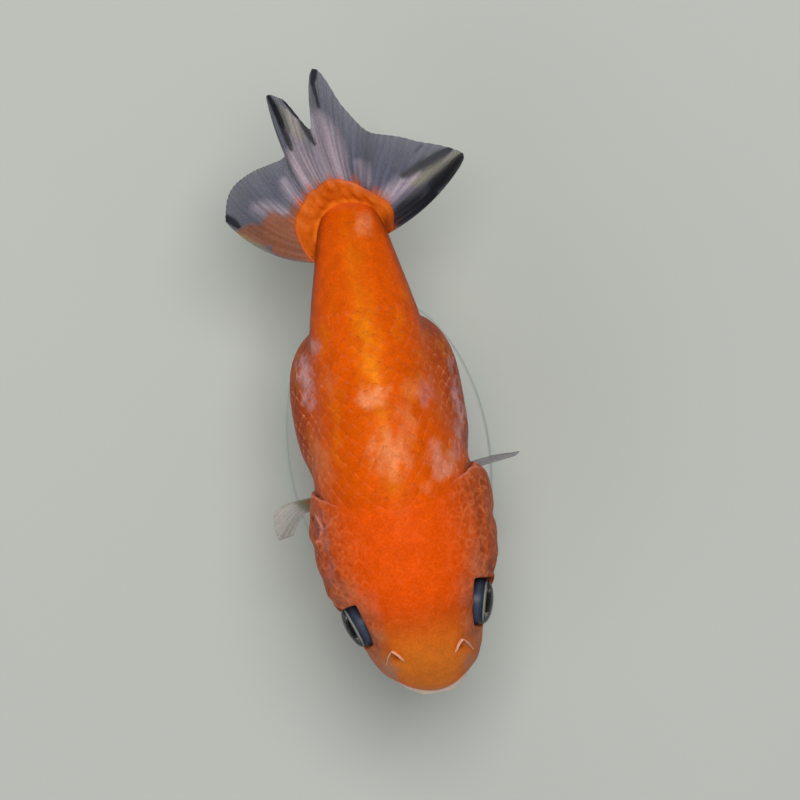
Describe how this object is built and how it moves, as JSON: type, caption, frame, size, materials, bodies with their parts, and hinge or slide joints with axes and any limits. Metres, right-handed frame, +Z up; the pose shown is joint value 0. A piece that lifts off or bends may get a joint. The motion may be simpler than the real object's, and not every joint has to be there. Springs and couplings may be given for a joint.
{
  "type": "ranchu goldfish model on a display stand",
  "caption": "Still life-size goldfish of the ranchu form, orange with a capped head, no back fin and a four-lobed double tail, held by a rod on a flat oval base.",
  "frame": {"origin": "middle of the underside of the stand's base, under the rod", "axes": "+Z up, +Y along the fish from head to tail, +X to the fish's own left"},
  "size_m": [0.0492, 0.1201, 0.0712],
  "materials": {
    "skin": "moist orange fish skin",
    "lip": "moist pale skin of the lips and nostrils",
    "fin_membrane": "translucent grey lilac fin membrane",
    "eye": "wet dark eye",
    "stand_coating": "fine satin coat",
    "stand_steel": "fine satin"
  },
  "bodies": {
    "root": {"head": "skin", "lower_jaw": "lip", "gill_cover_left": "skin", "gill_cover_right": "skin", "trunk": "skin", "tail_stalk": "skin", "tail_base": "skin", "tail_lobe_right_outer": "fin_membrane", "tail_lobe_right_inner": "fin_membrane", "tail_lobe_left_inner": "fin_membrane", "tail_lobe_left_outer": "fin_membrane", "pectoral_fin_left": "fin_membrane", "pectoral_fin_right": "fin_membrane", "pelvic_fin_left": "fin_membrane", "pelvic_fin_right": "fin_membrane", "anal_fin_left": "fin_membrane", "anal_fin_right": "fin_membrane", "eye_left": "eye", "eye_right": "eye", "nostril_flap_left": "lip", "nostril_flap_right": "lip", "stand_base": "stand_coating", "stand_collar": "stand_steel", "stand_rod": "stand_steel"}
  },
  "joints": []
}
